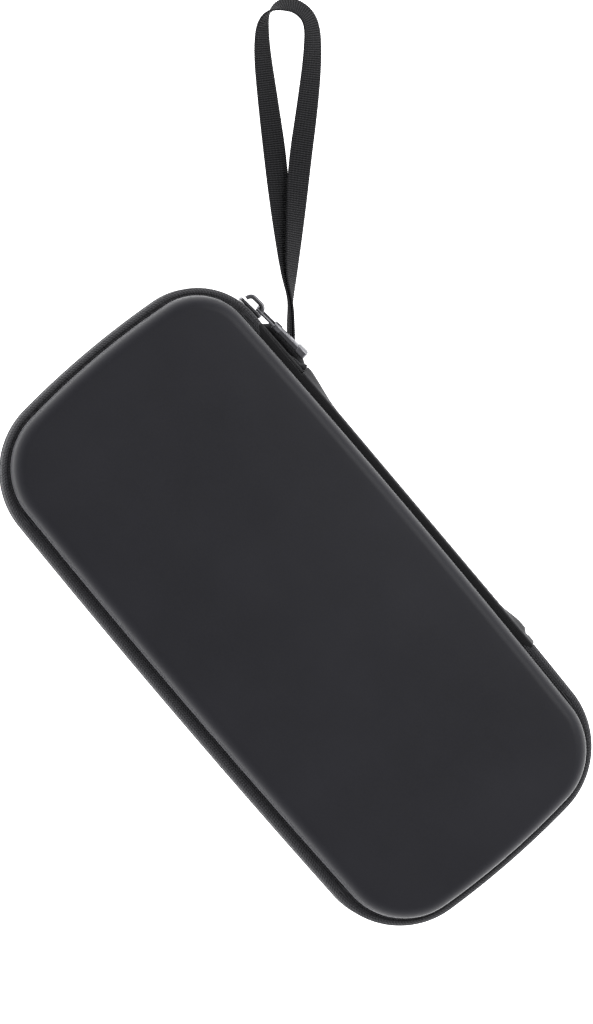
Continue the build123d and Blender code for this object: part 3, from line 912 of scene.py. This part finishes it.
def strap_anchor():
    """The folded tab under the band: two cheeks with the strap's ends between them."""
    a = np.linspace(ANCHOR_START, ANCHOR_END, 60)
    tip = np.clip((a - (ANCHOR_END - 0.5)) / 0.5, 0, 1)
    ends = np.sqrt(np.clip(1 - tip ** 2, 0.05, 1))
    ribs = 0.94 + 0.06 * np.cos(ROUND * a / RIB_PITCH)
    forms, at, out = [], [], []
    for side in (-1, 1):
        rows = []
        for w, d in webbing_section(ANCHOR_HALF, ANCHOR_THICK, ANCHOR_SIDES):
            across = side * CHEEK + d * ends * ribs
            high = ANCHOR_Z + w * (0.9 + 0.1 * ends)
            rows.append([from_exit(*place) for place in zip(a, across, high)])
        forms.append(tube(rows))
        sewn = [from_exit(s, side * ANCHOR_SEWN, z)
                for s in (-8.2, -11.0) for z in np.arange(11.2, 19.5, 2.5)]
        at += sewn
        out += [RIGHT * side] * len(sewn)
    settle(add("strap_anchor_webbing", join(forms), WEBBING), "base", "webbing", "strap_anchor_tab")
    sewn = stitches(np.array(at), UP, np.array(out), long=1.8, thick=0.45)
    settle(add("strap_anchor_thread", sewn, THREAD), "base", "webbing")


strap()
strap_anchor()


# The elastic band and the net pocket inside

ELASTIC_REACH, ELASTIC_TOP, ELASTIC_FOOT, ELASTIC_BEND = 53.1, 18.6, 11.4, 1.4
ELASTIC_HALF, ELASTIC_PITCH, ELASTIC_POINTS = 15.7, 1.9, 81
ELASTIC_ROUND, ELASTIC_EDGE = 15.2, 0.52  # where its edges start to thin, and over which width


def elastic_band():
    """Ribbed elastic across the base, turned down and sewn to the binding at both ends."""
    reach, top, r = ELASTIC_REACH, ELASTIC_TOP, ELASTIC_BEND
    half = [(-reach, z) for z in np.linspace(ELASTIC_FOOT, top - r, 8)]
    half += [(r - reach + r * math.cos(t), top - r + r * math.sin(t))
             for t in np.linspace(math.pi, QUARTER, 8)[1:]]
    middle = [(y, top) for y in np.linspace(r - reach, reach - r, 90)[1:-1]]
    line = np.array([(0.0, y, z) for y, z in half + middle + [(-y, z) for y, z in reversed(half)]])
    n = np.cross(EAST, tangents(line))
    across = np.linspace(-ELASTIC_HALF, ELASTIC_HALF, ELASTIC_POINTS)
    rows = []
    for w, face in [(w, 1) for w in across] + [(w, -1) for w in across[::-1]]:
        d = 0.42 + 0.12 * math.cos(ROUND * w / ELASTIC_PITCH)
        edge = math.sqrt(max(0.0, 1 - max(0.0, (abs(w) - ELASTIC_ROUND) / ELASTIC_EDGE) ** 2))
        rows.append(line + np.array([w, 0, 0]) + n * (face * d * (0.25 + 0.75 * edge)))
    o = add("elastic_band", tube(rows), ELASTIC)
    settle(o, "base", "elastic", "console_strap", "console_strap_ends")
    at, out = [], []
    for side in (-1.0, 1.0):
        for z in (12.6, 15.8):
            for x in np.arange(-14.0, 14.1, 2.8):
                at.append((x, side * (reach - 0.5), z))
                out.append((0.0, -side, 0.0))
    sewn = stitches(np.array(at), EAST, np.array(out), long=2.0, thick=0.5)
    settle(add("elastic_band_thread", sewn, THREAD), "base", "elastic")


POCKET_Z, POCKET_EDGE = 37.1, 26.0  # height of the net, and Y where its hem starts
POCKET_SAG, NET_HALF = 0.35, 0.2
NET_BACK, NET_REACH = -54.0, 123.0  # Y of its far seam, and its reach along X
NET_CELL, NET_HOLE = 1.75, 0.62  # from a mesh's middle to its corners, and the hole's share of that
NET_GRID = 50  # places that agree to a fiftieth of a millimetre are one point
NET_ROWS, NET_COLUMNS = range(-40, 20), range(-90, 90)
BORDER = ((0.02, -0.32), (0.6, -0.4), (2.2, -0.34), (2.5, 0.0), (2.2, 0.34), (0.6, 0.4), (0.02, 0.32))
HEM_REACH, HEM_HALF, HEM_PITCH = 120.3, 3.5, 2.6


def pocket_inside(x, y, margin):
    """Whether places lie inside the lid's lining, by a margin."""
    edge = SHELL.points(around(1440), -BINDING_INSET - BINDING - 0.1 - margin)
    turn = np.arctan2(edge[:, 1], edge[:, 0])
    reach = np.hypot(edge[:, 0], edge[:, 1])
    order = np.argsort(turn)
    return np.hypot(x, y) < np.interp(np.arctan2(y, x), turn[order], reach[order], period=ROUND)


def pocket_sag(p):
    """The net hangs a little between its seams."""
    p = np.array(p)
    half = (POCKET_EDGE - NET_BACK) / 2
    across = np.clip((p[:, 1] - NET_BACK) * (POCKET_EDGE - p[:, 1]) / half ** 2, 0, 1)
    p[:, 2] -= POCKET_SAG * ((1 - (p[:, 0] / NET_REACH) ** 2) * across)
    return p


def net():
    """Flat knitted frames round six-sided holes, both faces and the walls of the holes."""
    a = np.radians(np.arange(30, 390, 60))
    corner = np.stack([np.cos(a), np.sin(a)], axis=1) * NET_CELL
    middles = np.array([((i + 0.5 * (j % 2)) * NET_CELL * math.sqrt(3), j * NET_CELL * 1.5)
                        for j in NET_ROWS for i in NET_COLUMNS])
    x, y = middles.T
    middles = middles[pocket_inside(x, y, 1.2) & (y < POCKET_EDGE - 0.2)]
    keys, points, quads = {}, [], []

    def at(place, side):
        """The number of the point at a place on the upper or lower face."""
        key = (round(place[0] * NET_GRID), round(place[1] * NET_GRID), side)
        if key not in keys:
            keys[key] = len(points)
            points.append((*place, POCKET_Z + side * NET_HALF))
        return keys[key]

    for middle in middles:
        outer, inner = middle + corner, middle + corner * NET_HOLE
        for k in range(6):
            after = (k + 1) % 6
            quads.append((at(outer[k], 1), at(outer[after], 1), at(inner[after], 1), at(inner[k], 1)))
            quads.append((at(outer[after], -1), at(outer[k], -1), at(inner[k], -1), at(inner[after], -1)))
            quads.append((at(inner[k], 1), at(inner[after], 1), at(inner[after], -1), at(inner[k], -1)))
    return pocket_sag(points), np.array(quads), np.zeros((len(quads), 4, 2)), []


def border():
    """A plain strip along the binding, round the three closed sides."""
    turns = even_turns(SHELL, 0, ROUND, BORDER_MESH)
    edge = SHELL.points(turns, -BINDING_INSET - BINDING)
    turns = turns[edge[:, 1] < POCKET_EDGE + 5.5]
    split = int(np.argmax(np.diff(turns))) + 1
    turns = np.concatenate([turns[split:] - ROUND, turns[:split]])
    return tube([row(SHELL, turns, -BINDING_INSET - BINDING - inwards, POCKET_Z + z)
                 for inwards, z in BORDER])


def gathered_hem():
    """A flat tube with gathers of uneven pitch."""
    x = np.linspace(-HEM_REACH, HEM_REACH, 700)
    rows = []
    for t in around(24):
        c, s = math.cos(t), math.sin(t)
        y = POCKET_EDGE + HEM_HALF + HEM_HALF * power(c, 0.6)
        gather = 0.82 + 0.18 * np.cos(ROUND * x / HEM_PITCH + 0.8 * np.sin(x * 0.21) + 0.5 * c)
        rows.append(points_at(x, y, POCKET_Z + power(s, 0.8) * gather))
    return tube(rows)


def pocket():
    """A knitted net, a plain border sewn into the binding, and a gathered elastic hem."""
    o = settle(add("pocket_net", net(), NET), "lid", "net", "mesh_pocket")
    b = settle(add("pocket_border", border(), BINDING_CLOTH), "lid", "binding")
    hem = settle(add("pocket_hem", gathered_hem(), ELASTIC), "lid", "elastic", "mesh_pocket_hem")


elastic_band()
pocket()


# Stage, light and camera, in metres apart from the camera's target

FLOOR_HALF, FLOOR_Z = 5.0, -0.0002
# Height over the horizon as its sine, and brightness
SKY = ((0.0, 2.3), (0.1, 1.8), (0.3, 1.1), (0.5, 0.8), (0.7, 0.6), (0.85, 0.5), (1.0, 0.44))
SKY_BLUE = 1.06
KEY_AT, KEY_AIM, KEY_SIZE, KEY_POWER = Vector((0.1, 0.75, 1.0)), Vector((0.0, 0.0, 0.03)), 0.7, 4.0
CAMERA_TARGET, CAMERA_DISTANCE = Vector((-29.2, 24.65, 28.0)), 2.2265
CAMERA_BACK = Vector((-0.107, -0.097, 1.0)).normalized()
CAMERA_LENS, CAMERA_SENSOR = 200, 36


def white_floor():
    """A white floor with its own light, for a soft shadow."""
    mesh = bpy.data.meshes.new("floor")
    corners = [(x * FLOOR_HALF, y * FLOOR_HALF, FLOOR_Z) for x, y in ((-1, -1), (1, -1), (1, 1), (-1, 1))]
    mesh.from_pydata(corners, [], [(0, 1, 2, 3)])
    m, _, bsdf = material("white_floor")
    constants(bsdf, Base_Color=grey(0.35, 1.0), Roughness=0.9, Specular_IOR_Level=0.1,
              Emission_Color=grey(1.0, 1.0), Emission_Strength=2.2)
    mesh.materials.append(m)
    floor = link("floor", mesh)


def light():
    """A studio that is bright at the horizon, and one large soft key."""
    world = bpy.data.worlds.new("studio")
    world.use_nodes = True
    bpy.context.scene.world = world
    t = world.node_tree
    parts = t.nodes.new("ShaderNodeSeparateXYZ")
    t.links.new(t.nodes.new("ShaderNodeTexCoord").outputs["Generated"], parts.inputs[0])
    rise = t.nodes.new("ShaderNodeValToRGB")
    ends = rise.color_ramp.elements
    ends[0].position, ends[0].color = SKY[0][0], grey(SKY[0][1], SKY_BLUE)
    ends[1].position, ends[1].color = SKY[-1][0], grey(SKY[-1][1], SKY_BLUE)
    for place, level in SKY[1:-1]:
        ends.new(place).color = grey(level, SKY_BLUE)
    t.links.new(parts.outputs["Z"], rise.inputs["Fac"])
    t.links.new(rise.outputs["Color"], t.nodes["Background"].inputs["Color"])
    constants(t.nodes["Background"], Strength=1.0)

    key = bpy.data.lights.new("key", "AREA")
    key.shape, key.size, key.energy = "DISK", KEY_SIZE, KEY_POWER
    o = link("key", key)
    o.location = KEY_AT
    o.rotation_euler = (KEY_AIM - KEY_AT).to_track_quat("-Z", "Y").to_euler()


def camera():
    """The photo's view, with the strap's heading upright."""
    back = CAMERA_BACK
    up = (HEADING - back * HEADING.dot(back)).normalized()
    turn = Matrix((up.cross(back), up, back)).transposed().to_4x4()
    data = bpy.data.cameras.new("camera")
    data.lens, data.sensor_width = CAMERA_LENS, CAMERA_SENSOR
    o = link("camera", data)
    o.matrix_world = Matrix.Translation(CAMERA_TARGET * MM + back * CAMERA_DISTANCE) @ turn
    bpy.context.scene.camera = o


white_floor()
light()
camera()
bpy.context.scene.view_settings.view_transform = "Standard"
